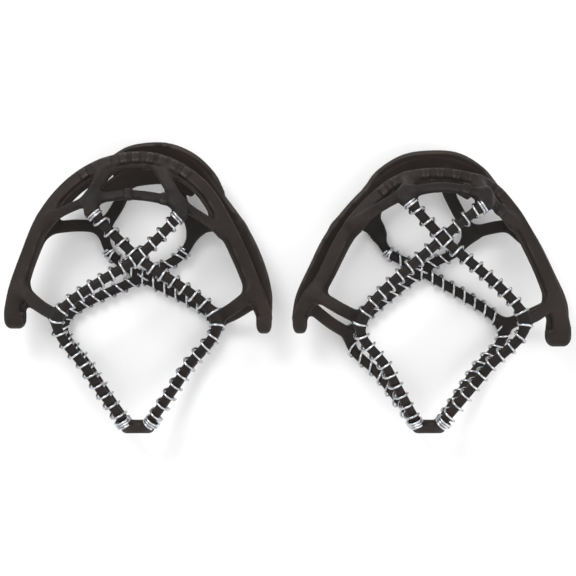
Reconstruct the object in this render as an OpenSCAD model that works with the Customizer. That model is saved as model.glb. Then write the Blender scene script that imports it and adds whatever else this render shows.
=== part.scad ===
// A pair of stretch-on walking traction devices, folded flat in two.
// Each device is one rubber moulding, a ring band and a crossed strap web,
// with four steel wire coils wound round the straps.
// Device frame: u across the fold, v away from the centre bar, z up.

/* [Overall] */
// Half the width of a device across its side loops, mm
half_width = 68; // [56:0.1:82]
// Distance from the centre bar to the top of the rim, mm
reach = 141; // [117:0.1:170]
// Height of each strap web above or below the fold plane, mm
web_rise = 20.7; // [17:0.1:25]
// Free space between the two devices, mm
pair_space = 10.4; // [5:0.1:60]

/* [Rubber moulding] */
// Thickness of the ring band, mm
band_t = 4.2; // [3.5:0.02:5.1]
// Extra width of the ring band over its drawn width, mm
band_extra_w = 0; // [-1:0.1:1.5]
// Width of the straps, mm
strap_w = 4.8; // [4:0.02:5.8]
// Thickness of the straps, mm
strap_t = 4.4; // [3.4:0.1:5.5]
// Width of the struts between the band and the straps, mm
strut_w = 6.4; // [5:0.1:8]
// Thickness of the struts, mm
strut_t = 3.8; // [3:0.1:5]
// Diameter of the centre bar, mm
bar_d = 7; // [5.5:0.1:8.5]
// Length of the centre bar, mm
bar_l = 9.2; // [7.5:0.02:11.1]
// Height of the raised grip blocks on the toe band, mm
grip_h = 0.6; // [0.3:0.1:1]
// Free space inside each side loop, mm
loop_gap = 2.4; // [1.5:0.1:4]

/* [Steel coils] */
// Diameter of the spring wire, mm
wire_d = 1.2; // [1:0.02:1.5]
// Distance from one turn to the next along the strap, mm
coil_pitch = 6.5; // [5:0.1:9]
// Play between the side of a strap and the wire, mm
wire_play = 0.6; // [0.5:0.02:0.9]

/* [Fits] */
// Gap between the moving toe half and the heel half, mm
fold_gap = 0.8; // [0.6:0.05:1.2]
// Play round the wire where its groove passes through a crossing or an arm, mm
groove_play = 0.05; // [0.03:0.01:0.15]

/* [Hidden] */
RUBBER = [0.17, 0.145, 0.135];
STEEL = [0.75, 0.76, 0.78];

// The routes below are drawn for these sizes and are stretched to the named ones
drawn_half_width = 68;
drawn_reach = 141;
coil_r = max(strap_w, strap_t) / 2 + wire_play + wire_d / 2;
coil_or = coil_r + wire_d / 2;
fold_r = loop_gap / 2 + band_t / 2;
mid_z = coil_or + web_rise;
// How far the drawn routes are stretched across and away from the bar
stretch_u = half_width / drawn_half_width;
stretch_v = reach / drawn_reach;
bar_y = -71.67 * stretch_v;
bar_to_bar = 2.05 * half_width + pair_space;
left_bar_x = -bar_to_bar / 2 - 2.25 * stretch_u;
right_bar_x = left_bar_x + bar_to_bar;
// Where the legs end beside and inside the bar, on the drawn routes
toe_end_u = (bar_l / 2 + strap_w / 2 + fold_gap) / stretch_u;
heel_end_u = (bar_l / 2 - 0.6) / stretch_u;
// Steps along each stretch of a route, and the height at which a leg meets the bar
route_steps = 2;
strap_steps = 4;
strut_steps = 2;
loop_steps = 12;
strut_slice = 0.5;
grip_w = 4;
tip_z = bar_d / 2 + 2;
tip_f = (tip_z - fold_r) / (web_rise - fold_r);
// How far each coil of a pair is lifted over the other one at the crossing
coil_lifts = [0, wire_d * 1.2];
rings_per_turn = 6;
wire_sides = 5;

// Route points: [u, v, height, roll, width]. Height 0 is at the side loops and
// 1 is at the strap web. Roll tips the band's outer edge towards the fold plane.
left_toe_ring = [
  [-63, 56.5, 0, 0, 10.5], [-63, 60, 0, 1, 10.2], [-61, 71, 0.02, 4, 9.5], [-55.5, 87, 0.08, 10, 8.8],
  [-47.5, 106, 0.14, 18, 8.6], [-35, 122, 0.18, 24, 8.4], [-19, 132.7, 0.2, 27, 8.2],
  [0, 137, 0.22, 28, 8], [17, 133.6, 0.2, 27, 8.2], [33, 122.3, 0.18, 24, 8.4],
  [44, 105.5, 0.14, 18, 8.6], [53.5, 86, 0.08, 10, 8.8], [60.8, 68, 0.02, 4, 8.8],
  [65, 57.5, 0, 1, 8.2], [65, 54, 0, 0, 8]
];
left_heel_ring = [
  [-63, 56.5, 0, 0, 10.5], [-63, 60, 0, 1, 10.2], [-61.5, 71, 0.02, 4, 9.5], [-57, 86, 0.1, 10, 8.8],
  [-49, 104, 0.2, 18, 8.6], [-36, 121, 0.28, 24, 8.4], [-20, 132.5, 0.34, 28, 8.6],
  [-2, 139, 0.36, 30, 9], [14, 140, 0.36, 30, 9], [28, 133.5, 0.34, 28, 8.6],
  [41, 117, 0.28, 24, 8.6], [53, 100, 0.2, 18, 8.6], [60.5, 84, 0.1, 10, 8.8],
  [64.6, 69, 0.02, 4, 8.8], [65, 57.5, 0, 1, 8.2], [65, 54, 0, 0, 8]
];
right_toe_ring = [
  [-66.3, 54, 0, 0, 7.6], [-66.3, 57, 0, 1, 7.8], [-61.5, 66, 0.02, 3, 8.5], [-54.5, 75, 0.04, 7, 8.6],
  [-43.5, 96.5, 0.06, 16, 8.6], [-31.7, 112.2, 0.08, 24, 8.2], [-15.3, 125.5, 0.1, 30, 7.8],
  [5, 129, 0.1, 32, 7.6], [28, 124, 0.1, 30, 7.8], [41, 111.5, 0.08, 24, 8.2],
  [51, 94.8, 0.06, 16, 8.6], [59.5, 77, 0.04, 7, 9], [64.5, 63, 0.02, 3, 10],
  [66.5, 51, 0, 1, 12], [66.5, 47.3, 0, 0, 12.5]
];
right_heel_ring = [
  [-66.3, 54, 0, 0, 7.6], [-66.3, 57, 0, 1, 7.8], [-64, 67, 0.02, 4, 8.6], [-57.5, 81, 0.1, 10, 8.6],
  [-50, 96, 0.2, 18, 8.6], [-38, 112, 0.28, 24, 8.6], [-22, 127, 0.34, 28, 8.6],
  [-6, 135, 0.36, 30, 9], [12, 135, 0.36, 30, 9], [28, 127, 0.34, 28, 8.6],
  [42, 111, 0.28, 24, 8.6], [53, 95, 0.2, 18, 8.6], [61, 78, 0.1, 10, 9],
  [66.8, 63, 0.02, 4, 10],
  [66.5, 51, 0, 1, 12], [66.5, 47.3, 0, 0, 12.5]
];
// The heel's pull tab, a lip outside the heel ring
left_pull_tab = [
  [-16, 134, 0.3, 30, 6], [-6, 141, 0.26, 32, 7], [6, 143.3, 0.24, 34, 7.4],
  [17, 142.4, 0.24, 34, 7.6], [28, 137, 0.26, 32, 8], [36.5, 128.2, 0.28, 30, 8.4],
  [41.5, 120, 0.28, 26, 6.4]
];
right_pull_tab = [
  [-30.5, 121, 0.28, 28, 6.4], [-24, 129, 0.28, 30, 8.4], [-12, 136.8, 0.26, 32, 8],
  [2, 139.2, 0.24, 34, 7.4], [15.5, 137.6, 0.26, 32, 8], [27.5, 129.8, 0.28, 30, 8.4],
  [34.5, 121, 0.28, 28, 6.4]
];
// The heel cup's inner rim, between its two middle struts
left_heel_rim = [
  [-20, 121, 0.5, 20, 7], [-8, 127, 0.48, 20, 8.6], [5, 129.5, 0.46, 20, 9],
  [16, 129, 0.48, 20, 8.6], [28, 122, 0.5, 20, 7]
];
right_heel_rim = [
  [-28, 117, 0.46, 20, 6], [-15, 124, 0.44, 20, 7], [-3, 127, 0.42, 20, 7.6],
  [10, 127, 0.44, 20, 7], [22, 120, 0.46, 20, 6]
];
// The inner arch of the toe cup, from band to band over the two tabs
left_inner_arch = [
  [-46, 105, 0.2, 12, 4.8], [-38.5, 109.5, 0.42, 16, 4.6], [-29.5, 113.3, 0.62, 20, 4.6],
  [-20.5, 116, 0.74, 22, 4.8], [-8, 118, 0.78, 24, 4.8], [2.2, 118, 0.78, 24, 4.8],
  [15, 116, 0.74, 22, 4.8], [24.5, 112.5, 0.66, 20, 4.8], [34.5, 106.5, 0.45, 16, 4.6],
  [43.5, 100, 0.18, 12, 4.8]
];
right_inner_arch = [
  [-38, 103, 0.14, 12, 5], [-30, 109.5, 0.4, 18, 5], [-21, 115, 0.66, 24, 5],
  [-11, 119.5, 0.8, 28, 5], [7, 122, 0.84, 30, 4.8], [26, 117.8, 0.8, 28, 5],
  [35, 111, 0.5, 20, 5], [42.5, 104, 0.16, 12, 5]
];
// Struts of the toe and heel cups, from the band to a strap's root
left_toe_struts = [
  [[-15, 132, 0.22], [-22, 117.5, 0.74], [-21.2, 109.4, 0.98]],
  [[12.5, 131, 0.24], [21.8, 114.5, 0.72], [22.9, 107.9, 0.98]]
];
right_toe_struts = [
  [[-10, 126, 0.14], [-12.5, 120.5, 0.8], [-12, 115.4, 0.98]],
  [[24, 124.5, 0.14], [27, 119, 0.78], [26.7, 113.4, 0.98]]
];
left_heel_struts = [
  [[-3, 137, 0.38], [-10.5, 117, 0.76], [-19.8, 103, 0.98]],
  [[-48, 102, 0.22], [-34, 104, 0.7], [-20.5, 103.5, 0.98]],
  [[16, 137, 0.38], [21.5, 117, 0.76], [28, 102, 0.98]],
  [[51, 101, 0.22], [40, 104, 0.62], [28.6, 102.5, 0.98]]
];
right_heel_struts = [
  [[-22, 124, 0.36], [-27, 109, 0.8], [-24.5, 99.5, 0.98]],
  [[-46, 101, 0.24], [-36, 105, 0.7], [-25.5, 102, 0.98]],
  [[8, 132, 0.38], [12, 120.5, 0.7], [23.6, 99.5, 0.98]],
  [[48, 100, 0.24], [40, 103.5, 0.6], [25, 100.5, 0.98]]
];
// Side arms, from the band to the junction of strap and leg
left_toe_arms = [
  [[-58.5, 70, 0.04], [-48.5, 62, 0.45], [-38.5, 57, 0.98]],
  [[59, 69, 0.04], [50, 61.5, 0.5], [41.5, 56, 0.98]]
];
right_toe_arms = [
  [[-58, 68, 0.04], [-45.5, 60.5, 0.5], [-35.4, 55.5, 0.98]],
  [[62, 63, 0.04], [53.5, 57.5, 0.5], [46.2, 55.5, 0.98]]
];
left_heel_arms = [
  [[-58.5, 67, 0.04], [-49.5, 60, 0.45], [-40.6, 54.5, 0.98]],
  [[61, 65, 0.04], [50, 58, 0.5], [39.5, 53.5, 0.98]]
];
right_heel_arms = [
  [[-60, 61, 0.04], [-50, 53, 0.45], [-39, 46.5, 0.98]],
  [[62.5, 62, 0.04], [51, 56, 0.5], [40.4, 51.2, 0.98]]
];
// Each strap run goes from a root, over the crossing, past the far junction and
// down its leg to the centre bar. A run's first point, the crossing, the junction
// and the last point are where its coil lies on the foot side.
left_toe_runs = [
  [[-21.2, 109.4, 0.98], [1.8, 86.8, 1], [41, 56.5, 1], [25.5, 30, 0.66], [toe_end_u, 3, tip_f]],
  [[22.9, 107.9, 0.98], [1.8, 86.8, 1], [-38, 57.5, 1], [-24.5, 30, 0.66], [-toe_end_u, 3, tip_f]]
];
right_toe_runs = [
  [[-12, 115.4, 0.98], [5.4, 96.3, 1], [46.2, 56.5, 1], [28, 30, 0.66], [toe_end_u, 3, tip_f]],
  [[26.7, 113.4, 0.98], [5.4, 96.3, 1], [-35.2, 56, 1], [-22, 30, 0.66], [-toe_end_u, 3, tip_f]]
];
left_heel_runs = [
  [[-20.3, 102, 0.98], [-15.5, 89, 1], [0.8, 77, 1], [39.3, 54, 1], [24, 28, 0.66],
   [heel_end_u, 0.6, 0]],
  [[28.4, 101, 0.98], [20.5, 88, 1], [0.8, 77, 1], [-40.6, 54.8, 1], [-25.5, 28, 0.66],
   [-heel_end_u, 0.6, 0]]
];
right_heel_runs = [
  [[-24.6, 99, 0.98], [-19, 89.5, 1], [-2.2, 80.2, 1], [40.4, 51.4, 1], [25, 27, 0.66],
   [heel_end_u, 0.6, 0]],
  [[23.9, 99, 0.98], [15, 89.5, 1], [-2.2, 80.2, 1], [-39, 46.6, 1], [-24, 25, 0.66],
   [-heel_end_u, 0.6, 0]]
];

// A route point in the device's own millimetres; way is 1 for toe and -1 for heel
function placed(p, way) =
  [p[0] * stretch_u, p[1] * stretch_v,
   mid_z + way * (fold_r + min(p[2], 1) * (web_rise - fold_r))];
// One point of the smooth curve through four route points
function curve_point(a, b, c, d, t) =
  0.5 * (2 * b + (c - a) * t + (2 * a - 5 * b + 4 * c - d) * t * t
         + (3 * b - a - 3 * c + d) * t * t * t);
function along(pts, k) =
  let (last = len(pts) - 1, i = min(floor(k), last - 1))
    curve_point(pts[max(i - 1, 0)], pts[i], pts[i + 1], pts[min(i + 2, last)], k - i);
function unit(v) = v / norm(v);
// Across the route in plan, and away from the fold plane
function across(pts, way, k) =
  let (a = placed(along(pts, max(k - 0.05, 0)), way),
       b = placed(along(pts, min(k + 0.05, len(pts) - 1)), way),
       t = unit(b - a))
    [t, unit(cross(t, [0, 0, 1])), unit(cross(unit(cross(t, [0, 0, 1])), t))];

// Cross section of a moulded member: a rectangle with bevelled corners
function section_corners(w, t) =
  let (bevel = t * 0.3)
    [[-w / 2 + bevel, -t / 2], [w / 2 - bevel, -t / 2], [w / 2, -t / 2 + bevel],
     [w / 2, t / 2 - bevel], [w / 2 - bevel, t / 2], [-w / 2 + bevel, t / 2],
     [-w / 2, t / 2 - bevel], [-w / 2, -t / 2 + bevel]];
function turned(c, angle) =
  [c[0] * cos(angle) - c[1] * sin(angle), c[0] * sin(angle) + c[1] * cos(angle)];

// A solid with the given corners ring by ring, capped at both ends
module swept(corners, sides) {
  last = len(corners) / sides - 1;
  walls = [
    for (i = [0 : last - 1])
      for (j = [0 : sides - 1])
        let (a = i * sides + j, b = i * sides + (j + 1) % sides)
          for (face = [[a, b, b + sides], [a, b + sides, a + sides]])
            face
  ];
  first_cap = [for (j = [sides - 1 : -1 : 0]) j];
  last_cap = [for (j = [0 : sides - 1]) last * sides + j];
  polyhedron(points = corners, faces = concat([first_cap], walls, [last_cap]));
}

// A member whose points carry their own roll and width
module band_member(pts, way, t) {
  corners = [
    for (i = [0 : (len(pts) - 1) * route_steps])
      let (k = i / route_steps, q = along(pts, k), p = placed(q, way), f = across(pts, way, k))
        for (c = section_corners(q[4] + band_extra_w, t))
          let (e = turned(c, q[3] * way))
            p + e[0] * f[1] + e[1] * f[2]
  ];
  swept(corners, 8);
}

// A strap of one width
module strap_member(pts, way) {
  corners = [
    for (i = [0 : (len(pts) - 1) * strap_steps])
      let (k = i / strap_steps, p = placed(along(pts, k), way), f = across(pts, way, k))
        for (c = section_corners(strap_w, strap_t))
          p + c[0] * f[1] + c[1] * f[2]
  ];
  swept(corners, 8);
}

// One cross section of a strut in its place on a route
module section_on(pts, way, k, w, t) {
  p = placed(along(pts, k), way);
  f = across(pts, way, k);
  multmatrix([
    [f[1][0], f[2][0], f[0][0], p[0]],
    [f[1][1], f[2][1], f[0][1], p[1]],
    [f[1][2], f[2][2], f[0][2], p[2]],
    [0, 0, 0, 1]
  ])
    linear_extrude(strut_slice, center = true)
      polygon(section_corners(w, t));
}

// A strut or arm, in straight stretches
module strut_member(pts, way) {
  last = (len(pts) - 1) * strut_steps;
  for (i = [0 : last - 1])
    hull()
      for (k = [i, i + 1])
        section_on(pts, way, k / strut_steps, strut_w, strut_t);
}

// Raised grip blocks on the outside of the toe band
module grip_blocks(pts, way) {
  centre = (len(pts) - 1) / 2;
  for (i = [-4 : 4])
    let (k = centre + i * 0.36, q = along(pts, k))
      hull()
        for (end = [-0.07, 0.07])
          let (p = placed(along(pts, k + end), way), f = across(pts, way, k + end))
            multmatrix([
              [f[1][0], f[2][0], f[0][0], p[0]],
              [f[1][1], f[2][1], f[0][1], p[1]],
              [f[1][2], f[2][2], f[0][2], p[2]],
              [0, 0, 0, 1]
            ])
              rotate([0, 0, q[3] * way])
                translate([0, way * grip_h, 0])
                  linear_extrude(strut_slice, center = true)
                    polygon(section_corners(grip_w, band_t));
}

// One coil: a round wire that winds round a strap run. Between two knots of the
// run it makes a whole number of turns, so it lies on the foot side at each knot.
function knot_gap(pts, way, i) = norm(placed(pts[i + 1], way) - placed(pts[i], way));
function turns_before(pts, way, i) =
  i == 0 ? 0 : turns_before(pts, way, i - 1)
             + max(1, round(knot_gap(pts, way, i - 1) / coil_pitch));
function coil_centre(pts, way, k, crossing, lift) =
  let (i = min(floor(k), len(pts) - 2),
       turn = turns_before(pts, way, i)
              + (k - i) * (turns_before(pts, way, i + 1) - turns_before(pts, way, i)),
       near = max(0, 1 - abs(k - crossing) * 6),
       r = coil_r + lift * near * max(0, cos(360 * turn)),
       f = across(pts, way, k))
    placed(along(pts, k), way) - r * way * cos(360 * turn) * f[2] + r * sin(360 * turn) * f[1];
module coil(pts, way, crossing, lift, d) {
  knots = len(pts) - 1;
  ks = [
    for (i = [0 : knots - 1])
      let (turns = turns_before(pts, way, i + 1) - turns_before(pts, way, i),
           n = turns * rings_per_turn)
        for (j = [0 : n - 1])
          if (!(i == 0 && j < 2) && !(i == knots - 1 && j > n - 2))
            i + j / n
  ];
  centres = [for (k = ks) coil_centre(pts, way, k, crossing, lift)];
  last = len(centres) - 1;
  corners = [
    for (i = [0 : last])
      let (t = unit(centres[min(i + 1, last)] - centres[max(i - 1, 0)]),
           out = unit(centres[i] - placed(along(pts, ks[i]), way)),
           b = unit(cross(t, out)),
           n = cross(b, t))
        for (j = [0 : wire_sides - 1])
          centres[i] + d / 2 * (cos(360 * j / wire_sides) * n - sin(360 * j / wire_sides) * b)
  ];
  swept(corners, wire_sides);
}

// The bend that joins the toe ring to the heel ring at one side. Its heel leg meets
// the heel ring, and its toe leg stops a fold gap short of the toe ring.
module side_loop(end) {
  p = placed(end, 1);
  w = end[4] + band_extra_w;
  corners = [
    for (i = [0 : loop_steps + 1])
      let (a = 90 + 180 * min(i / loop_steps, 1), back = i > loop_steps ? 0 : fold_gap)
        for (c = section_corners(w, band_t))
          [p[0] - c[0], p[1] - back + (fold_r + c[1]) * cos(a), mid_z + (fold_r + c[1]) * sin(a)]
  ];
  swept(corners, 8);
}

module toe_band(ring, arch, struts) {
  color(RUBBER)
    union() {
      band_member(ring, 1, band_t);
      band_member(arch, 1, strut_t);
      for (strut = struts)
        strut_member(strut, 1);
      grip_blocks(ring, 1);
    }
}

module heel_band(ring, tab, rim, struts) {
  color(RUBBER)
    union() {
      band_member(ring, -1, band_t);
      band_member(tab, -1, strut_t);
      band_member(rim, -1, strut_t);
      for (strut = struts)
        strut_member(strut, -1);
    }
}

// The crossed straps, legs and arms, grooved where a coil passes through them
module web(runs, arms, way, crossing) {
  color(RUBBER)
    difference() {
      union() {
        for (run = runs)
          strap_member(run, way);
        for (arm = arms)
          strut_member(arm, way);
      }
      for (i = [0, 1])
        coil(runs[i], way, crossing, coil_lifts[i], wire_d + 2 * groove_play);
    }
}

module centre_bar() {
  color(RUBBER)
    translate([0, 0, mid_z])
      rotate([0, 90, 0])
        cylinder(d = bar_d, h = bar_l, center = true, $fn = 36);
}

module coil_piece(runs, i, way, crossing) {
  color(STEEL)
    coil(runs[i], way, crossing, coil_lifts[i], wire_d);
}

// One named piece of a device, from that device's own routes
module piece(name, ring, arch, toe_struts, toe_arms, toe_runs,
             heel_ring, tab, rim, heel_struts, heel_arms, heel_runs) {
  if (name == "toe_band") toe_band(ring, arch, toe_struts);
  if (name == "toe_web") web(toe_runs, toe_arms, 1, 1);
  if (name == "heel_band") heel_band(heel_ring, tab, rim, heel_struts);
  if (name == "heel_web") web(heel_runs, heel_arms, -1, 2);
  if (name == "centre_bar") centre_bar();
  if (name == "side_loop_left") color(RUBBER) side_loop(ring[0]);
  if (name == "side_loop_right") color(RUBBER) side_loop(ring[len(ring) - 1]);
  if (name == "toe_coil_left") coil_piece(toe_runs, 0, 1, 1);
  if (name == "toe_coil_right") coil_piece(toe_runs, 1, 1, 1);
  if (name == "heel_coil_left") coil_piece(heel_runs, 0, -1, 2);
  if (name == "heel_coil_right") coil_piece(heel_runs, 1, -1, 2);
}

module left(name) {
  translate([left_bar_x, bar_y, 0])
    piece(name, left_toe_ring, left_inner_arch, left_toe_struts, left_toe_arms, left_toe_runs,
          left_heel_ring, left_pull_tab, left_heel_rim, left_heel_struts, left_heel_arms,
          left_heel_runs);
}
module right(name) {
  translate([right_bar_x, bar_y, 0])
    piece(name, right_toe_ring, right_inner_arch, right_toe_struts, right_toe_arms,
          right_toe_runs, right_heel_ring, right_pull_tab, right_heel_rim,
          right_heel_struts, right_heel_arms, right_heel_runs);
}

left("toe_band");  // left_toe_band
left("toe_web");  // left_toe_web
left("heel_band");  // left_heel_band
left("heel_web");  // left_heel_web
left("centre_bar");  // left_centre_bar
left("side_loop_left");  // left_side_loop_left
left("side_loop_right");  // left_side_loop_right
left("toe_coil_left");  // left_toe_coil_left
left("toe_coil_right");  // left_toe_coil_right
left("heel_coil_left");  // left_heel_coil_left
left("heel_coil_right");  // left_heel_coil_right
right("toe_band");  // right_toe_band
right("toe_web");  // right_toe_web
right("heel_band");  // right_heel_band
right("heel_web");  // right_heel_web
right("centre_bar");  // right_centre_bar
right("side_loop_left");  // right_side_loop_left
right("side_loop_right");  // right_side_loop_right
right("toe_coil_left");  // right_toe_coil_left
right("toe_coil_right");  // right_toe_coil_right
right("heel_coil_left");  // right_heel_coil_left
right("heel_coil_right");  // right_heel_coil_right
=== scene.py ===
import math

import bpy
import numpy as np
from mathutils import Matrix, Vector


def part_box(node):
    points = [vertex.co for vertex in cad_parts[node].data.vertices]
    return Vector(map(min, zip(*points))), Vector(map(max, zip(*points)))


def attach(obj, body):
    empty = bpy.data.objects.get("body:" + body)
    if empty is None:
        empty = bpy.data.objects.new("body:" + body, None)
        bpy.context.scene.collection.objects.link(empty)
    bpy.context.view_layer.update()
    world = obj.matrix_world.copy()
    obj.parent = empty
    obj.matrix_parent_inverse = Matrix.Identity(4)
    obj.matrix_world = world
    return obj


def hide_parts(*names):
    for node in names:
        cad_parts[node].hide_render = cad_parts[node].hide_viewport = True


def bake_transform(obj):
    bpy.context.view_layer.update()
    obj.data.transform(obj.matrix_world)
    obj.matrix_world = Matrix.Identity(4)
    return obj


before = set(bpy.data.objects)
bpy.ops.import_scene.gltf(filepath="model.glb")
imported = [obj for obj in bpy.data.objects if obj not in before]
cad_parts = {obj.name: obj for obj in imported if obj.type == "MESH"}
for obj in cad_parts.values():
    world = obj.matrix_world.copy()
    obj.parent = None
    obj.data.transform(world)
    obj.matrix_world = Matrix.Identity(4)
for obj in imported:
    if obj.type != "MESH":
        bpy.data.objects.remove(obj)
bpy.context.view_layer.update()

import openvdb
from mathutils import Vector

# ---- Camera, floor and studio light --------------------------------------------
# The pair lies on a pale floor and is seen from straight above, a little under a
# metre away. Two big soft boxes and a bright room give soft, even light.
camera = bpy.data.objects.new("camera", bpy.data.cameras.new("camera"))
camera.location = (0.0002, -0.0004, 0.9)
camera.data.sensor_width = 36
camera.data.lens = 106.25
camera.data.clip_start = 0.01
bpy.context.scene.collection.objects.link(camera)
bpy.context.scene.camera = camera

bpy.context.scene.view_settings.view_transform = "Standard"

room = bpy.data.worlds.new("white_room")
room.use_nodes = True
room.node_tree.nodes["Background"].inputs["Color"].default_value = (1, 1, 1, 1)
room.node_tree.nodes["Background"].inputs["Strength"].default_value = 1.0
bpy.context.scene.world = room


def soft_box(name, place, size, watts):
    """A square soft box that looks at the middle of the pair."""
    light = bpy.data.lights.new(name, "AREA")
    light.size = size
    light.energy = watts
    box = bpy.data.objects.new(name, light)
    box.location = place
    box.rotation_euler = (-Vector(place)).to_track_quat("-Z", "Y").to_euler()
    bpy.context.scene.collection.objects.link(box)


soft_box("key_soft_box", (-0.45, 0.75, 1.0), 0.5, 7)
soft_box("fill_soft_box", (0.8, -0.5, 0.8), 0.9, 3)

floor_mesh = bpy.data.meshes.new("floor")
floor_half = 3.0
floor_drop = 0.0002
floor_mesh.from_pydata(
    [(-floor_half, -floor_half, 0), (floor_half, -floor_half, 0),
     (floor_half, floor_half, 0), (-floor_half, floor_half, 0)], [], [(0, 1, 2, 3)])
floor = bpy.data.objects.new("floor", floor_mesh)
floor.location.z = -floor_drop
bpy.context.scene.collection.objects.link(floor)
paper = bpy.data.materials.new("white_paper")
paper.use_nodes = True
paper_shader = paper.node_tree.nodes["Principled BSDF"]
paper_shader.inputs["Base Color"].default_value = (0.93, 0.93, 0.93, 1)
paper_shader.inputs["Roughness"].default_value = 0.9
paper_shader.inputs["Specular IOR Level"].default_value = 0.1
floor_mesh.materials.append(paper)


# ---- Rubber mouldings -------------------------------------------------------------
# Each device is one injection moulding of natural rubber: a ring band that folds at
# its two side loops, a toe cup and a heel cup of struts, and a web of round straps.
# Every junction has a generous fillet, so the rubber doesn't tear when it stretches.
MM = 0.001
band_half_t = 2.1
strap_half_w = 2.4
strap_half_t = 2.2
strut_half_w = 3.2
strut_half_t = 1.9
arch_half_t = 1.9
rim_half_t = 1.7
tab_half_t = 1.7
loop_fold_r = 3.3
bar_half_d = 3.5
bar_half_t = 3.4
bar_end_extra = 1.0
leg_end = (5.6, 0.9, 0)
# A ledge is the share of the half width it takes from the inner edge, and its depth
band_ledge = (0.4, 1.6)
tab_ledge = (0.3, 1.1)
# Rows of raised blocks: where on which route, how far apart in route points, how many
grip_blocks = {"on": "toe_ring", "middle": 7, "apart": 0.36, "count": 9, "half_w": 2.6,
               "height": 1.1}
arch_blocks = {"on": "inner_arch", "middle": 4.5, "apart": 1.5, "count": 3, "half_w": 2.9,
               "height": 0.7}
loop_steps = 15
loop_drop = 0.8
loop_overlap = 1.5
loop_narrowing = 0.15
# The space that holds one device, from its centre bar
device_low = (-76, -9, -28)
device_high = (79, 151, 28)
block_corner = 0.6
band_corner = 1.2
strut_corner = 1.4
strap_corner = 1.7
loop_corner = 1.7
bar_corner = 3.0
fillet = 5.0
strap_fillet = 2.5
rim_fillet = 3.0
bar_fillet = 3.0
tab_fillet = 1.5
ledge_fillet = 0.5
block_fillet = 0.3
# Spacing of the points along a member, and of the grid that the skin is found on
member_spacing = 2.5
strap_spacing = 2.2
block_spacing = 1.2
drop = 0.65

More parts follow.
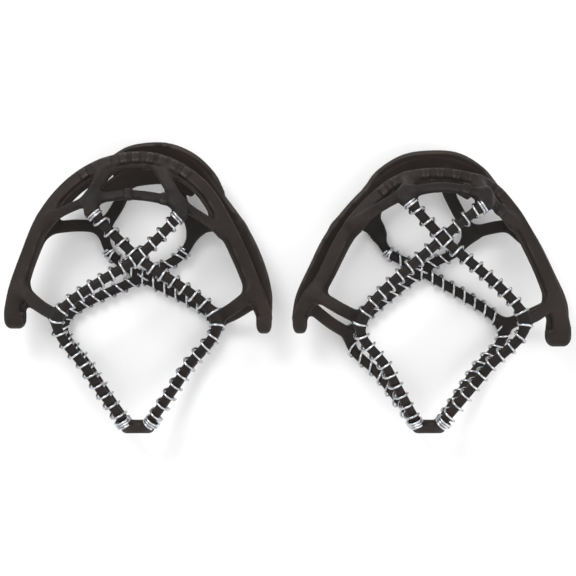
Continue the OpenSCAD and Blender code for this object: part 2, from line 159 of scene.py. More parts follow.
# Route points: across, away from the centre bar, height (0 at the side loops, 1 at
# the strap web), then roll in degrees and full width for the members that taper.
ROUTES = {
    "left": {
        "toe_ring": [
            (-63, 56.5, 0, 0, 10.5), (-63, 60, 0, 1, 10.2), (-61, 71, 0.02, 4, 9.5),
            (-55.5, 87, 0.08, 10, 8.8), (-47.5, 106, 0.14, 18, 8.6), (-35, 122, 0.18, 24, 8.4),
            (-19, 132.7, 0.2, 27, 8.2), (0, 137, 0.22, 28, 8), (17, 133.6, 0.2, 27, 8.2),
            (33, 122.3, 0.18, 24, 8.4), (44, 105.5, 0.14, 18, 8.6), (53.5, 86, 0.08, 10, 8.8),
            (60.8, 68, 0.02, 4, 8.8), (65, 57.5, 0, 1, 8.2), (65, 54, 0, 0, 8)],
        "heel_ring": [
            (-63, 56.5, 0, 0, 10.5), (-63, 60, 0, 1, 10.2), (-61.5, 71, 0.02, 4, 9.5),
            (-57, 86, 0.1, 10, 8.8), (-49, 104, 0.2, 18, 8.6), (-36, 121, 0.28, 24, 8.4),
            (-20, 132.5, 0.34, 28, 8.6), (-2, 139, 0.36, 30, 9), (14, 140, 0.36, 30, 9),
            (28, 133.5, 0.34, 28, 8.6), (41, 117, 0.28, 24, 8.6), (53, 100, 0.2, 18, 8.6),
            (60.5, 84, 0.1, 10, 8.8), (64.6, 69, 0.02, 4, 8.8), (65, 57.5, 0, 1, 8.2),
            (65, 54, 0, 0, 8)],
        "pull_tab": [
            (-16, 134, 0.3, 30, 6), (-6, 141, 0.26, 32, 7), (6, 143.3, 0.24, 34, 7.4),
            (17, 142.4, 0.24, 34, 7.6), (28, 137, 0.26, 32, 8), (36.5, 128.2, 0.28, 30, 8.4),
            (41.5, 120, 0.28, 26, 6.4)],
        "inner_arch": [
            (-46, 105, 0.2, 12, 4.8), (-38.5, 109.5, 0.42, 16, 4.6), (-29.5, 113.3, 0.62, 20, 4.6),
            (-20.5, 116, 0.74, 22, 4.8), (-8, 118, 0.78, 24, 4.8), (2.2, 118, 0.78, 24, 4.8),
            (15, 116, 0.74, 22, 4.8), (24.5, 112.5, 0.66, 20, 4.8), (34.5, 106.5, 0.45, 16, 4.6),
            (43.5, 100, 0.18, 12, 4.8)],
        "heel_rim": [
            (-20, 121, 0.5, 20, 7), (-8, 127, 0.48, 20, 8.6), (5, 129.5, 0.46, 20, 9),
            (16, 129, 0.48, 20, 8.6), (28, 122, 0.5, 20, 7)],
        "toe_struts": [
            [(-15, 132, 0.22), (-22, 117.5, 0.74), (-21.2, 109.4, 0.98)],
            [(12.5, 131, 0.24), (21.8, 114.5, 0.72), (22.9, 107.9, 0.98)]],
        "heel_struts": [
            [(-3, 137, 0.38), (-10.5, 117, 0.76), (-19.8, 103, 0.98)],
            [(-48, 102, 0.22), (-34, 104, 0.7), (-20.5, 103.5, 0.98)],
            [(16, 137, 0.38), (21.5, 117, 0.76), (28, 102, 0.98)],
            [(51, 101, 0.22), (40, 104, 0.62), (28.6, 102.5, 0.98)]],
        "toe_arms": [
            [(-58.5, 70, 0.04), (-48.5, 62, 0.45), (-38.5, 57, 0.98)],
            [(59, 69, 0.04), (50, 61.5, 0.5), (41.5, 56, 0.98)]],
        "heel_arms": [
            [(-58.5, 67, 0.04), (-49.5, 60, 0.45), (-40.6, 54.5, 0.98)],
            [(61, 65, 0.04), (50, 58, 0.5), (39.5, 53.5, 0.98)]],
        "toe_runs": [
            [(-21.2, 109.4, 0.98), (1.8, 86.8, 1), (41, 56.5, 1), (25.5, 30, 0.66),
             (7.8, 3, 0.126)],
            [(22.9, 107.9, 0.98), (1.8, 86.8, 1), (-38, 57.5, 1), (-24.5, 30, 0.66),
             (-7.8, 3, 0.126)]],
        "heel_runs": [
            [(-20.3, 102, 0.98), (-15.5, 89, 1), (0.8, 77, 1), (39.3, 54, 1), (24, 28, 0.66),
             (4, 0.6, 0)],
            [(28.4, 101, 0.98), (20.5, 88, 1), (0.8, 77, 1), (-40.6, 54.8, 1), (-25.5, 28, 0.66),
             (-4, 0.6, 0)]],
    },
    "right": {
        "toe_ring": [
            (-66.3, 54, 0, 0, 7.6), (-66.3, 57, 0, 1, 7.8), (-61.5, 66, 0.02, 3, 8.5),
            (-54.5, 75, 0.04, 7, 8.6), (-43.5, 96.5, 0.06, 16, 8.6), (-31.7, 112.2, 0.08, 24, 8.2),
            (-15.3, 125.5, 0.1, 30, 7.8), (5, 129, 0.1, 32, 7.6), (28, 124, 0.1, 30, 7.8),
            (41, 111.5, 0.08, 24, 8.2), (51, 94.8, 0.06, 16, 8.6), (59.5, 77, 0.04, 7, 9),
            (64.5, 63, 0.02, 3, 10), (66.5, 51, 0, 1, 12), (66.5, 47.3, 0, 0, 12.5)],
        "heel_ring": [
            (-66.3, 54, 0, 0, 7.6), (-66.3, 57, 0, 1, 7.8), (-64, 67, 0.02, 4, 8.6),
            (-57.5, 81, 0.1, 10, 8.6), (-50, 96, 0.2, 18, 8.6), (-38, 112, 0.28, 24, 8.6),
            (-22, 127, 0.34, 28, 8.6), (-6, 135, 0.36, 30, 9), (12, 135, 0.36, 30, 9),
            (28, 127, 0.34, 28, 8.6), (42, 111, 0.28, 24, 8.6), (53, 95, 0.2, 18, 8.6),
            (61, 78, 0.1, 10, 9), (66.8, 63, 0.02, 4, 10), (66.5, 51, 0, 1, 12),
            (66.5, 47.3, 0, 0, 12.5)],
        "pull_tab": [
            (-30.5, 121, 0.28, 28, 6.4), (-24, 129, 0.28, 30, 8.4), (-12, 136.8, 0.26, 32, 8),
            (2, 139.2, 0.24, 34, 7.4), (15.5, 137.6, 0.26, 32, 8), (27.5, 129.8, 0.28, 30, 8.4),
            (34.5, 121, 0.28, 28, 6.4)],
        "inner_arch": [
            (-38, 103, 0.14, 12, 5), (-30, 109.5, 0.4, 18, 5), (-21, 115, 0.66, 24, 5),
            (-11, 119.5, 0.8, 28, 5), (7, 122, 0.84, 30, 4.8), (26, 117.8, 0.8, 28, 5),
            (35, 111, 0.5, 20, 5), (42.5, 104, 0.16, 12, 5)],
        "heel_rim": [
            (-28, 117, 0.46, 20, 6), (-15, 124, 0.44, 20, 7), (-3, 127, 0.42, 20, 7.6),
            (10, 127, 0.44, 20, 7), (22, 120, 0.46, 20, 6)],
        "toe_struts": [
            [(-10, 126, 0.14), (-12.5, 120.5, 0.8), (-12, 115.4, 0.98)],
            [(24, 124.5, 0.14), (27, 119, 0.78), (26.7, 113.4, 0.98)]],
        "heel_struts": [
            [(-22, 124, 0.36), (-27, 109, 0.8), (-24.5, 99.5, 0.98)],
            [(-46, 101, 0.24), (-36, 105, 0.7), (-25.5, 102, 0.98)],
            [(8, 132, 0.38), (12, 120.5, 0.7), (23.6, 99.5, 0.98)],
            [(48, 100, 0.24), (40, 103.5, 0.6), (25, 100.5, 0.98)]],
        "toe_arms": [
            [(-58, 68, 0.04), (-45.5, 60.5, 0.5), (-35.4, 55.5, 0.98)],
            [(62, 63, 0.04), (53.5, 57.5, 0.5), (46.2, 55.5, 0.98)]],
        "heel_arms": [
            [(-60, 61, 0.04), (-50, 53, 0.45), (-39, 46.5, 0.98)],
            [(62.5, 62, 0.04), (51, 56, 0.5), (40.4, 51.2, 0.98)]],
        "toe_runs": [
            [(-12, 115.4, 0.98), (5.4, 96.3, 1), (46.2, 56.5, 1), (28, 30, 0.66), (7.8, 3, 0.126)],
            [(26.7, 113.4, 0.98), (5.4, 96.3, 1), (-35.2, 56, 1), (-22, 30, 0.66),
             (-7.8, 3, 0.126)]],
        "heel_runs": [
            [(-24.6, 99, 0.98), (-19, 89.5, 1), (-2.2, 80.2, 1), (40.4, 51.4, 1), (25, 27, 0.66),
             (4, 0.6, 0)],
            [(23.9, 99, 0.98), (15, 89.5, 1), (-2.2, 80.2, 1), (-39, 46.6, 1), (-24, 25, 0.66),
             (-4, 0.6, 0)]],
    },
}
bar_centre = {}
for side in ROUTES:
    low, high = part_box(side + "_centre_bar")
    bar_centre[side] = (np.array(low) + np.array(high)) / 2 / MM
fold_plane = bar_centre["left"][2]
web_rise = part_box("left_toe_web")[1][2] / MM - strap_half_t - fold_plane


def smooth_route(points, spacing):
    """Points at an even spacing on the smooth curve through the route's points."""
    p = np.array(points, float)
    ends = np.vstack([p[:1], p, p[-1:]])
    knots, out = [], []
    for i in range(len(p) - 1):
        a, b, c, d = ends[i:i + 4]
        t = np.linspace(0, 1, 24, endpoint=False)[:, None]
        out.append(0.5 * (2 * b + (c - a) * t + (2 * a - 5 * b + 4 * c - d) * t ** 2
                          + (3 * b - a - 3 * c + d) * t ** 3))
        knots.append(i + t[:, 0])
    fine = np.vstack(out + [p[-1:]])
    knot = np.concatenate(knots + [[len(p) - 1]])
    step = np.linalg.norm(np.diff(fine[:, :3], axis=0), axis=1)
    run = np.concatenate([[0], np.cumsum(step)])
    count = max(3, int(round(run[-1] / spacing)) + 1)
    at = np.linspace(0, run[-1], count)
    even = np.column_stack([np.interp(at, run, fine[:, k]) for k in range(fine.shape[1])])
    return even, np.interp(at, run, knot)


def in_device(points, way):
    """Route points with their height turned into millimetres above the bar's axis."""
    out = []
    for point in points:
        height = way * (loop_fold_r + min(point[2], 1) * (web_rise - loop_fold_r))
        out.append((point[0], point[1], height) + tuple(point[3:]))
    return out


def ending_at(points, end):
    """A strap's route with its last point moved to the given end, on the same side."""
    return points[:-1] + [(math.copysign(end[0], points[-1][0]), end[1], end[2])]


def frames(path):
    """The direction along a path, across it in plan, and square to both."""
    ahead = np.gradient(path[:, :3], axis=0)
    ahead /= np.linalg.norm(ahead, axis=1)[:, None]
    across = np.cross(ahead, (0, 0, 1.0))
    length = np.linalg.norm(across, axis=1)
    across /= np.maximum(length, 1e-6)[:, None]
    # Where a path turns nearly upright, it keeps the direction it had before
    for i in range(1, len(across)):
        if length[i] < 0.75 or across[i] @ across[i - 1] < 0:
            carried = across[i - 1] - (across[i - 1] @ ahead[i]) * ahead[i]
            across[i] = carried / np.linalg.norm(carried)
    square = np.cross(across, ahead)
    return ahead, across, square / np.linalg.norm(square, axis=1)[:, None]


def rounded(s, o, beyond, w, h, r):
    """Distance to a rounded rectangle, from a point s across it and o out of it."""
    u = np.maximum(np.abs(s) - w + r, 0)
    v = np.maximum(np.abs(o) - h + r, 0)
    inside = np.minimum(np.maximum(np.abs(s) - w + r, np.abs(o) - h + r), 0)
    return np.sqrt(u * u + v * v + beyond * beyond) + inside - r


class Block:
    """A block of space round one device that holds the distance to the rubber."""
    # The distance that is held where no rubber is near
    far = 9.0

    def __init__(self, low, high):
        self.low = np.array(low, float)
        self.count = np.ceil((np.array(high) - self.low) / drop).astype(int)

    def empty(self):
        return np.full(self.count, self.far, np.float32)

    def add_member(self, space, path, across, square, half_w, half_t, corner, step=None):
        """A bar with rounded corners along a path. step = (share, depth) leaves a lower
        ledge along the inner share of its outer face."""
        for i in range(len(path) - 1):
            a, b = path[i, :3], path[i + 1, :3]
            reach = max(half_w[i], half_t[i]) + fillet + 1.5
            lo = np.maximum(np.floor((np.minimum(a, b) - reach - self.low) / drop), 0).astype(int)
            hi = np.minimum(np.ceil((np.maximum(a, b) + reach - self.low) / drop),
                            self.count).astype(int)
            axes = [self.low[k] + (np.arange(lo[k], hi[k]) + 0.5) * drop for k in range(3)]
            x, y, z = np.meshgrid(*axes, indexing="ij")
            q = np.stack([x, y, z], -1) - a
            length = np.linalg.norm(b - a)
            along = q @ ((b - a) / length)
            t = np.clip(along / length, 0, 1)[..., None]
            beyond = np.maximum(np.maximum(-along, along - length), 0)
            if 0 < i < len(path) - 2:
                beyond = np.maximum(beyond - 0.2, 0)
            q = q - t * (b - a)
            side_dir = across[i] * (1 - t) + across[i + 1] * t
            out_dir = square[i] * (1 - t) + square[i + 1] * t
            s = (q * side_dir).sum(-1)
            o = (q * out_dir).sum(-1)
            t = t[..., 0]
            w = half_w[i] * (1 - t) + half_w[i + 1] * t
            h = half_t[i] * (1 - t) + half_t[i + 1] * t
            if step is None:
                d = rounded(s, o, beyond, w, h, corner)
            else:
                share, depth = step
                cut = w * share
                d = np.minimum(rounded(s - cut / 2, o, beyond, w - cut / 2, h, corner),
                               rounded(s, o + depth / 2, beyond, w, h - depth / 2, corner * 0.7))
            view = space[lo[0]:hi[0], lo[1]:hi[1], lo[2]:hi[2]]
            np.minimum(view, d, out=view)

    def mesh(self, space, name, centre):
        grid = openvdb.FloatGrid(self.far)
        grid.copyFromArray(space)
        points, quads = grid.convertToQuads(0.0)
        points = (points + 0.5) * drop + self.low + centre
        made = bpy.data.meshes.new(name)
        made.from_pydata((points * MM).tolist(), [], quads.tolist())
        made.update()
        return made


def fillet_union(a, b, radius):
    """Joins two distance blocks with a fillet where they meet."""
    blend = np.maximum(radius - np.abs(a - b), 0)
    return np.minimum(a, b) - blend * blend / (4 * radius)


def add_bar(block, space, points, way, half_w, half_t, corner):
    """Adds a strut or arm of one section."""
    path, _ = smooth_route(in_device(points, way), member_spacing)
    _, across, square = frames(path)
    n = len(path)
    member = block.empty()
    block.add_member(member, path, across, square, np.full(n, half_w), np.full(n, half_t), corner)
    return fillet_union(space, member, fillet)


def add_tapered(block, space, points, way, half_t, step, radius):
    """Adds a band whose route points carry its roll and width."""
    path, _ = smooth_route(in_device(points, way), member_spacing)
    _, across, square = frames(path)
    roll = np.radians(path[:, 3]) * way
    turned_across = across * np.cos(roll)[:, None] + square * np.sin(roll)[:, None]
    turned_square = square * np.cos(roll)[:, None] - across * np.sin(roll)[:, None]
    n = len(path)
    member = block.empty()
    block.add_member(member, path, -turned_across, turned_square * way, path[:, 4] / 2,
                     np.full(n, half_t), band_corner, step)
    return fillet_union(space, member, radius)


def add_raised(block, space, routes, on, middle, apart, count, half_w, height):
    """A row of low blocks on the outer face of a toe band, spaced in route steps."""
    path, knot = smooth_route(in_device(routes[on], 1), block_spacing)
    _, across, square = frames(path)
    member = block.empty()
    for i in range(count):
        at = middle + (i - (count - 1) / 2) * apart
        near = np.abs(knot - at).argmin()
        pick = slice(near - 1, near + 2)
        roll = math.radians(path[near, 3])
        out = square[near] * math.cos(roll) - across[near] * math.sin(roll)
        side_dir = across[near] * math.cos(roll) + square[near] * math.sin(roll)
        bar = path[pick, :3] + out * height
        block.add_member(member, bar, np.tile(side_dir, (3, 1)), np.tile(out, (3, 1)),
                         np.full(3, half_w), np.full(3, band_half_t), block_corner)
    return fillet_union(space, member, block_fillet)


def moulding(side):
    """The whole rubber moulding of one device as one mesh."""
    r = ROUTES[side]
    block = Block(device_low, device_high)
    halves = []
    for way, half in ((1, "toe"), (-1, "heel")):
        space = block.empty()
        space = add_tapered(block, space, r[half + "_ring"], way, band_half_t, band_ledge,
                            ledge_fillet)
        for points in r[half + "_struts"] + r[half + "_arms"]:
            space = add_bar(block, space, points, way, strut_half_w, strut_half_t,
                            strut_corner)
        if half == "toe":
            space = add_tapered(block, space, r["inner_arch"], way, arch_half_t, None, fillet)
            for raised in grip_blocks, arch_blocks:
                space = add_raised(block, space, r, **raised)
        else:
            space = add_tapered(block, space, r["heel_rim"], way, rim_half_t, None, rim_fillet)
            space = add_tapered(block, space, r["pull_tab"], way, tab_half_t, tab_ledge,
                                tab_fillet)
        straps = block.empty()
        for points in r[half + "_runs"]:
            rooted = ending_at(points, leg_end)
            path, _ = smooth_route(in_device(rooted, way), strap_spacing)
            _, across, square = frames(path)
            member = block.empty()
            n = len(path)
            block.add_member(member, path, across, square, np.full(n, strap_half_w),
                             np.full(n, strap_half_t), strap_corner)
            straps = fillet_union(straps, member, strap_fillet)
        space = fillet_union(space, straps, fillet)
        halves.append(space)
    space = np.minimum(*halves)
    # The side loops
    for end in (r["toe_ring"][0], r["toe_ring"][-1]):
        turn = np.radians(np.linspace(90, 270, loop_steps))
        bend = np.column_stack([np.full(loop_steps, end[0]),
                                end[1] - loop_drop + loop_fold_r * np.cos(turn),
                                loop_fold_r * np.sin(turn)])
        bend = np.vstack([[end[0], end[1] + loop_overlap, loop_fold_r], bend,
                          [end[0], end[1] + loop_overlap, -loop_fold_r]])
        across = np.tile((1.0, 0, 0), (len(bend), 1))
        ahead = np.gradient(bend, axis=0)
        ahead /= np.linalg.norm(ahead, axis=1)[:, None]
        low = np.concatenate([[0], np.clip(-np.cos(turn), 0, 1), [0]])
        narrowed = end[4] / 2 - (1 - np.sqrt(1 - low * low)) * end[4] * loop_narrowing
        member = block.empty()
        block.add_member(member, bend, across, np.cross(across, ahead),
                         narrowed, np.full(len(bend), band_half_t), loop_corner)
        space = np.minimum(space, member)
    # The centre bar
    low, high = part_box(side + "_centre_bar")
    bar_half_l = (high[0] - low[0]) / 2 / MM + bar_end_extra
    path = np.array([(x, 0, 0.0) for x in np.linspace(-bar_half_l, bar_half_l, 7)])
    n = len(path)
    member = block.empty()
    block.add_member(member, path, np.tile((0, 1.0, 0), (n, 1)), np.tile((0, 0, 1.0), (n, 1)),
                     np.full(n, bar_half_d), np.full(n, bar_half_t), bar_corner)
    space = fillet_union(space, member, bar_fillet)
    return block.mesh(space, side + "_rubber_moulding", bar_centre[side])


def rubber_material():
    """Moulded natural rubber: warm brown-black, satin, with a fine talc-like grain."""
    made = bpy.data.materials.new("moulded_rubber")
    made.use_nodes = True
    nodes, links = made.node_tree.nodes, made.node_tree.links
    shader = nodes["Principled BSDF"]
    place = nodes.new("ShaderNodeTexCoord")
    cloud = nodes.new("ShaderNodeTexNoise")
    cloud.inputs["Scale"].default_value = 60
    cloud.inputs["Detail"].default_value = 6
    links.new(place.outputs["Object"], cloud.inputs["Vector"])
    tint = nodes.new("ShaderNodeValToRGB")
    tint.color_ramp.elements[0].position = 0.3
    tint.color_ramp.elements[0].color = (0.0115, 0.0078, 0.0066, 1)
    tint.color_ramp.elements[1].position = 0.75
    tint.color_ramp.elements[1].color = (0.0225, 0.0158, 0.0135, 1)
    links.new(cloud.outputs["Fac"], tint.inputs["Fac"])
    # Convex edges are mixed towards a lighter brown: partly wear, partly a painted highlight along
    # the bevels.
    edge = nodes.new("ShaderNodeAttribute")
    edge.attribute_name = "worn_edge_and_highlight"
    wear_and_highlight = nodes.new("ShaderNodeMix")
    wear_and_highlight.data_type = "RGBA"
    wear_and_highlight.inputs["B"].default_value = (0.085, 0.062, 0.052, 1)
    links.new(edge.outputs["Fac"], wear_and_highlight.inputs["Factor"])
    links.new(tint.outputs["Color"], wear_and_highlight.inputs["A"])
    # Painted shade: the straps and roots, the same rubber as the bands, are multiplied darker.
    web = nodes.new("ShaderNodeAttribute")
    web.attribute_name = "painted_web_shade"
    darker = nodes.new("ShaderNodeMix")
    darker.data_type = "RGBA"
    darker.blend_type = "MULTIPLY"
    darker.inputs["B"].default_value = (0.55, 0.58, 0.6, 1)
    links.new(web.outputs["Fac"], darker.inputs["Factor"])
    links.new(wear_and_highlight.outputs["Result"], darker.inputs["A"])
    # Painted shade: inner corners and creases are mixed to near black.
    fold = nodes.new("ShaderNodeAttribute")
    fold.attribute_name = "crease_shade"
    painted_crease_shade = nodes.new("ShaderNodeMix")
    painted_crease_shade.data_type = "RGBA"
    painted_crease_shade.inputs["B"].default_value = (0.004, 0.003, 0.003, 1)
    links.new(fold.outputs["Fac"], painted_crease_shade.inputs["Factor"])
    links.new(darker.outputs["Result"], painted_crease_shade.inputs["A"])
    links.new(painted_crease_shade.outputs["Result"], shader.inputs["Base Color"])
    grain = nodes.new("ShaderNodeTexNoise")
    grain.inputs["Scale"].default_value = 900
    grain.inputs["Detail"].default_value = 4
    links.new(place.outputs["Object"], grain.inputs["Vector"])
    rough = nodes.new("ShaderNodeMapRange")
    rough.inputs["To Min"].default_value = 0.46
    rough.inputs["To Max"].default_value = 0.66
    links.new(grain.outputs["Fac"], rough.inputs["Value"])
    links.new(rough.outputs["Result"], shader.inputs["Roughness"])
    wave = nodes.new("ShaderNodeTexNoise")
    wave.inputs["Scale"].default_value = 140
    wave.inputs["Detail"].default_value = 3
    links.new(place.outputs["Object"], wave.inputs["Vector"])
    waves = nodes.new("ShaderNodeBump")
    waves.inputs["Strength"].default_value = 0.25
    waves.inputs["Distance"].default_value = 0.0004
    links.new(wave.outputs["Fac"], waves.inputs["Height"])
    bump = nodes.new("ShaderNodeBump")
    bump.inputs["Strength"].default_value = 0.35
    bump.inputs["Distance"].default_value = 0.0001
    links.new(grain.outputs["Fac"], bump.inputs["Height"])
    links.new(waves.outputs["Normal"], bump.inputs["Normal"])
    links.new(bump.outputs["Normal"], shader.inputs["Normal"])
    shader.inputs["Specular IOR Level"].default_value = 0.22
    return made


def mark_edge_and_shade_masks(mesh):
    """Marks each point with three masks: lighter on sharp convex edges, partly wear and partly a
    painted highlight; near black in inner corners, as painted shade; and darker on the straps and
    roots, which stand well above or below the fold plane, as painted shade."""
    n = len(mesh.vertices)
    where = np.empty(n * 3)
    mesh.vertices.foreach_get("co", where)
    where = where.reshape(-1, 3)
    facing = np.empty(n * 3)
    mesh.vertices.foreach_get("normal", facing)
    facing = facing.reshape(-1, 3)
    ends = np.empty(len(mesh.edges) * 2, int)
    mesh.edges.foreach_get("vertices", ends)
    a, b = ends.reshape(-1, 2).T
    pull = np.zeros((n, 3))
    np.add.at(pull, a, where[b] - where[a])
    np.add.at(pull, b, where[a] - where[b])
    count = np.bincount(ends, minlength=n)[:, None]
    bend = -(pull / np.maximum(count, 1) * facing).sum(1) / (drop * MM)
    for _ in range(3):
        total = np.bincount(a, bend[b], n) + np.bincount(b, bend[a], n)
        bend = 0.5 * bend + 0.5 * total / np.maximum(count[:, 0], 1)
    # Lighter on convex edges: partly wear, partly a painted highlight.
    value = np.clip((bend - 0.06) / 0.12, 0, 1)
    mesh.attributes.new("worn_edge_and_highlight", "FLOAT", "POINT").data.foreach_set("value", value)
    # Painted shade in inner corners: the more concave a point, the nearer to black.
    mesh.attributes.new("crease_shade", "FLOAT", "POINT").data.foreach_set(
        "value", np.clip((-bend - 0.015) / 0.06, 0, 1))
    # Painted shade on the straps: darker the farther a point stands from the fold plane.
    above = np.abs(where[:, 2] / MM - fold_plane)
    mesh.attributes.new("painted_web_shade", "FLOAT", "POINT").data.foreach_set(
        "value", np.clip((above - 11) / 5, 0, 1))


rubber = rubber_material()
for side in ROUTES:
    mesh = moulding(side)
    mesh.materials.append(rubber)
    mesh.shade_smooth()
    mark_edge_and_shade_masks(mesh)
    piece = bpy.data.objects.new(side + "_rubber_moulding", mesh)
    bpy.context.scene.collection.objects.link(piece)
    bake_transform(piece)
    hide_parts(*[side + "_" + part for part in (
        "toe_band", "toe_web", "heel_band", "heel_web", "centre_bar",
        "side_loop_left", "side_loop_right")])


# ---- Steel coils ----------------------------------------------------------------------
# Each coil is one length of hard zinc-plated spring wire. It is wound on at a strap's
# root in tight turns, then climbs the strap at an even pitch, straddles the crossing
# and ends in tight turns beside the centre bar.
wire_half_d = 0.62
coil_across = 3.6
coil_square = 3.15
coil_pitch = 6.5
tight_pitch = 1.35
# How far one side of a loose turn stands ahead of its middle, and the other behind
turn_slant = 0.9
# Tight turns beside the bar, and the length over which they give way to the slant
end_turns = 2.6
ease = 4
coil_end = (6.4, 0.9, 0.05)
# How far each coil of a pair stands off its strap at the crossing
first_lift = 0.3
next_lift = 1.3
# How far down its strap a coil starts, and how many tight turns it starts with
keep_first = {"toe": {"left": 0.6, "right": 0.6}, "heel": {"left": 11.0, "right": 9.0}}
root_turns = {"toe": 2, "heel": 1}
# The route point at which a half's two straps cross
crossing_point = {"toe": 1, "heel": 2}
wire_sides = 10
rings_a_turn = 26


def steel_material():
    """Bright zinc-plated wire: pale grey metal with dull spots."""
    made = bpy.data.materials.new("zinc_plated_wire")
    made.use_nodes = True
    nodes, links = made.node_tree.nodes, made.node_tree.links
    shader = nodes["Principled BSDF"]
    shader.inputs["Metallic"].default_value = 1.0
    place = nodes.new("ShaderNodeTexCoord")
    spots = nodes.new("ShaderNodeTexNoise")
    spots.inputs["Scale"].default_value = 420
    spots.inputs["Detail"].default_value = 5
    links.new(place.outputs["Object"], spots.inputs["Vector"])
    tint = nodes.new("ShaderNodeValToRGB")
    tint.color_ramp.elements[0].position = 0.35
    tint.color_ramp.elements[0].color = (0.36, 0.37, 0.39, 1)
    tint.color_ramp.elements[1].position = 0.65
    tint.color_ramp.elements[1].color = (0.68, 0.69, 0.71, 1)
    links.new(spots.outputs["Fac"], tint.inputs["Fac"])
    links.new(tint.outputs["Color"], shader.inputs["Base Color"])
    rough = nodes.new("ShaderNodeMapRange")
    rough.inputs["To Min"].default_value = 0.16
    rough.inputs["To Max"].default_value = 0.34
    links.new(spots.outputs["Fac"], rough.inputs["Value"])
    links.new(rough.outputs["Result"], shader.inputs["Roughness"])
    bump = nodes.new("ShaderNodeBump")
    bump.inputs["Strength"].default_value = 0.2
    bump.inputs["Distance"].default_value = 0.00005
    links.new(spots.outputs["Fac"], bump.inputs["Height"])
    links.new(bump.outputs["Normal"], shader.inputs["Normal"])
    return made


steel = steel_material()


def coil_tree():
    """Geometry nodes: wind a wire round a strap line by its turn, across and square values."""
    tree = bpy.data.node_groups.new("wound_coil", "GeometryNodeTree")
    face = tree.interface
    face.new_socket("Strap line", in_out="INPUT", socket_type="NodeSocketGeometry")
    for name, value in (("Across radius", coil_across * MM), ("Square radius", coil_square * MM),
                        ("Wire radius", wire_half_d * MM), ("Slant", turn_slant * MM)):
        face.new_socket(name, in_out="INPUT", socket_type="NodeSocketFloat").default_value = value
    sides = face.new_socket("Wire sides", in_out="INPUT", socket_type="NodeSocketInt")
    sides.default_value = wire_sides
    face.new_socket("Finish", in_out="INPUT", socket_type="NodeSocketMaterial")
    face.new_socket("Coil", in_out="OUTPUT", socket_type="NodeSocketGeometry")
    nodes, links = tree.nodes, tree.links
    given = nodes.new("NodeGroupInput")
    result = nodes.new("NodeGroupOutput")

    def named(name, kind):
        node = nodes.new("GeometryNodeInputNamedAttribute")
        node.data_type = kind
        node.inputs["Name"].default_value = name
        return node.outputs["Attribute"]

    def maths(operation, a, b=None):
        node = nodes.new("ShaderNodeMath")
        node.operation = operation
        for socket, value in zip(node.inputs, (a, b)):
            if value is None:
                continue
            if isinstance(value, (int, float)):
                socket.default_value = value
            else:
                links.new(value, socket)
        return node.outputs[0]

    def scaled(vector, factor):
        node = nodes.new("ShaderNodeVectorMath")
        node.operation = "SCALE"
        links.new(vector, node.inputs[0])
        links.new(factor, node.inputs["Scale"])
        return node.outputs[0]

    def plus(a, b):
        node = nodes.new("ShaderNodeVectorMath")
        node.operation = "ADD"
        links.new(a, node.inputs[0])
        links.new(b, node.inputs[1])
        return node.outputs[0]

    angle = maths("MULTIPLY", named("turn", "FLOAT"), 2 * math.pi)
    cosine = maths("COSINE", angle)
    sine = maths("SINE", angle)
    out = maths("MULTIPLY", cosine, maths("ADD", given.outputs["Square radius"],
                                          named("lift", "FLOAT")))
    offset = plus(scaled(named("square", "FLOAT_VECTOR"), out),
                  scaled(named("across", "FLOAT_VECTOR"),
                         maths("MULTIPLY", sine, given.outputs["Across radius"])))
    slant = maths("MULTIPLY", maths("MULTIPLY", sine, given.outputs["Slant"]),
                  named("loose", "FLOAT"))
    offset = plus(offset, scaled(named("ahead", "FLOAT_VECTOR"), slant))
    line = nodes.new("GeometryNodeMeshToCurve")
    links.new(given.outputs["Strap line"], line.inputs["Mesh"])
    wind = nodes.new("GeometryNodeSetPosition")
    links.new(line.outputs["Curve"], wind.inputs["Geometry"])
    links.new(offset, wind.inputs["Offset"])
    ring = nodes.new("GeometryNodeCurvePrimitiveCircle")
    links.new(given.outputs["Wire sides"], ring.inputs["Resolution"])
    links.new(given.outputs["Wire radius"], ring.inputs["Radius"])
    wire = nodes.new("GeometryNodeCurveToMesh")
    wire.inputs["Fill Caps"].default_value = True
    links.new(wind.outputs["Geometry"], wire.inputs["Curve"])
    links.new(ring.outputs["Curve"], wire.inputs["Profile Curve"])
    real = nodes.new("GeometryNodeRealizeInstances")
    links.new(wire.outputs["Mesh"], real.inputs["Geometry"])
    shade = nodes.new("GeometryNodeSetShadeSmooth")
    links.new(real.outputs["Geometry"], shade.inputs["Geometry"])
    finish = nodes.new("GeometryNodeSetMaterial")
    links.new(shade.outputs["Geometry"], finish.inputs["Geometry"])
    links.new(given.outputs["Finish"], finish.inputs["Material"])
    links.new(finish.outputs["Geometry"], result.inputs["Coil"])
    return tree


wound_coil = coil_tree()


def made_plain(name, mesh, tree, inputs):
    """A plain mesh object from a mesh with a geometry nodes tree run on it."""
    draft = bpy.data.objects.new(name, mesh)
    bpy.context.scene.collection.objects.link(draft)
    modifier = draft.modifiers.new("tree", "NODES")
    modifier.node_group = tree
    for item in tree.interface.items_tree:
        if item.in_out == "INPUT" and item.name in inputs:
            modifier[item.identifier] = inputs[item.name]
    seen = draft.evaluated_get(bpy.context.evaluated_depsgraph_get())
    plain = bpy.data.meshes.new_from_object(seen)
    draft.modifiers.remove(modifier)
    draft.data = plain
    plain.name = name
    return draft


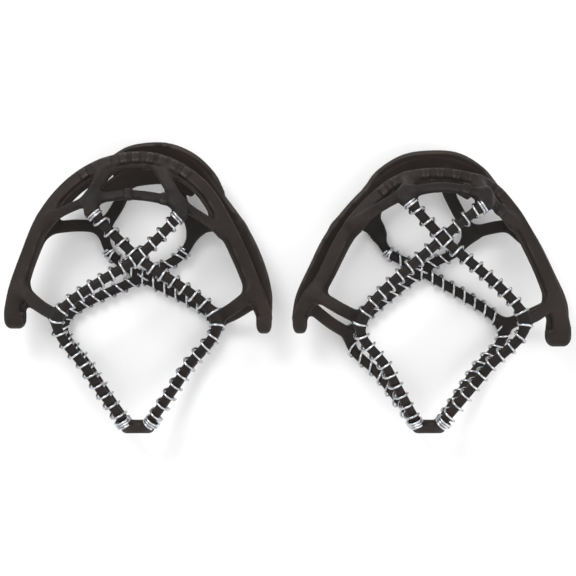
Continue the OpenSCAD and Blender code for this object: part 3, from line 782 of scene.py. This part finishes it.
def strap_line(name, points, way, centre, crossing, lift, tight_turns, start):
    """The strap's own line, with the turn number and directions that the tree reads."""
    points = ending_at(points, coil_end)
    path, knot = smooth_route(in_device(points, way), 0.25)
    ahead, across, square = frames(path)
    knots = len(points) - 1
    run = np.concatenate([[0], np.cumsum(np.linalg.norm(np.diff(path[:, :3], axis=0), axis=1))])
    knot_run = np.interp(np.arange(knots + 1), knot, run)
    tight_start = start + tight_turns * tight_pitch
    tight_end = end_turns * tight_pitch
    # Whole turns between the knots put the wire on the foot side at the crossing
    stations = [(start, 0.0), (tight_start, float(tight_turns))]
    turns = float(tight_turns)
    for i in range(1, knots + 1):
        reach = knot_run[i] - (tight_end if i == knots else 0)
        gap = reach - stations[-1][0]
        turns += max(1, round(gap / coil_pitch))
        stations.append((reach, turns))
    stations.append((knot_run[-1], turns + end_turns))
    where, count = np.array(stations).T
    rings = int(count[-1] * rings_a_turn)
    at_turn = np.linspace(0, count[-1], rings)
    at = np.interp(at_turn, count, where)
    line = np.column_stack([np.interp(at, run, path[:, k]) for k in range(3)])

    def along(values):
        out = np.column_stack([np.interp(at, run, values[:, k]) for k in range(3)])
        return out / np.linalg.norm(out, axis=1)[:, None]
    near = np.clip(1 - np.abs(at - knot_run[crossing]) / (coil_pitch * 0.8), 0, 1)
    foot_side = np.clip(np.cos(at_turn * 2 * math.pi), 0, 1)
    mesh = bpy.data.meshes.new(name)
    mesh.from_pydata(((line + centre) * MM).tolist(),
                     [(i, i + 1) for i in range(rings - 1)], [])
    loose_end = knot_run[-1] - tight_end
    loose = np.interp(at, [tight_start, tight_start + ease, loose_end - ease, loose_end],
                      [0, 1, 1, 0])
    for label, values, kind in (
            ("turn", at_turn, "FLOAT"), ("lift", (near * foot_side * lift) * MM, "FLOAT"),
            ("loose", loose, "FLOAT"),
            ("ahead", along(ahead), "FLOAT_VECTOR"), ("across", along(across), "FLOAT_VECTOR"),
            ("square", along(square) * -way, "FLOAT_VECTOR")):
        data = mesh.attributes.new(label, kind, "POINT").data
        data.foreach_set("vector" if kind == "FLOAT_VECTOR" else "value",
                         np.ascontiguousarray(values, np.float32).ravel())
    return mesh


for side in ROUTES:
    for half, way in (("toe", 1), ("heel", -1)):
        for i, from_side in enumerate(("left", "right")):
            name = "%s_%s_coil_%s" % (side, half, from_side)
            line = strap_line(
                name + "_wire", ROUTES[side][half + "_runs"][i], way, bar_centre[side],
                crossing_point[half], first_lift + i * next_lift, root_turns[half],
                keep_first[half][side])
            piece = made_plain(name + "_wire", line, wound_coil, {"Finish": steel})
            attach(piece, "%s_%s_half" % (side, half))
            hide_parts(name)
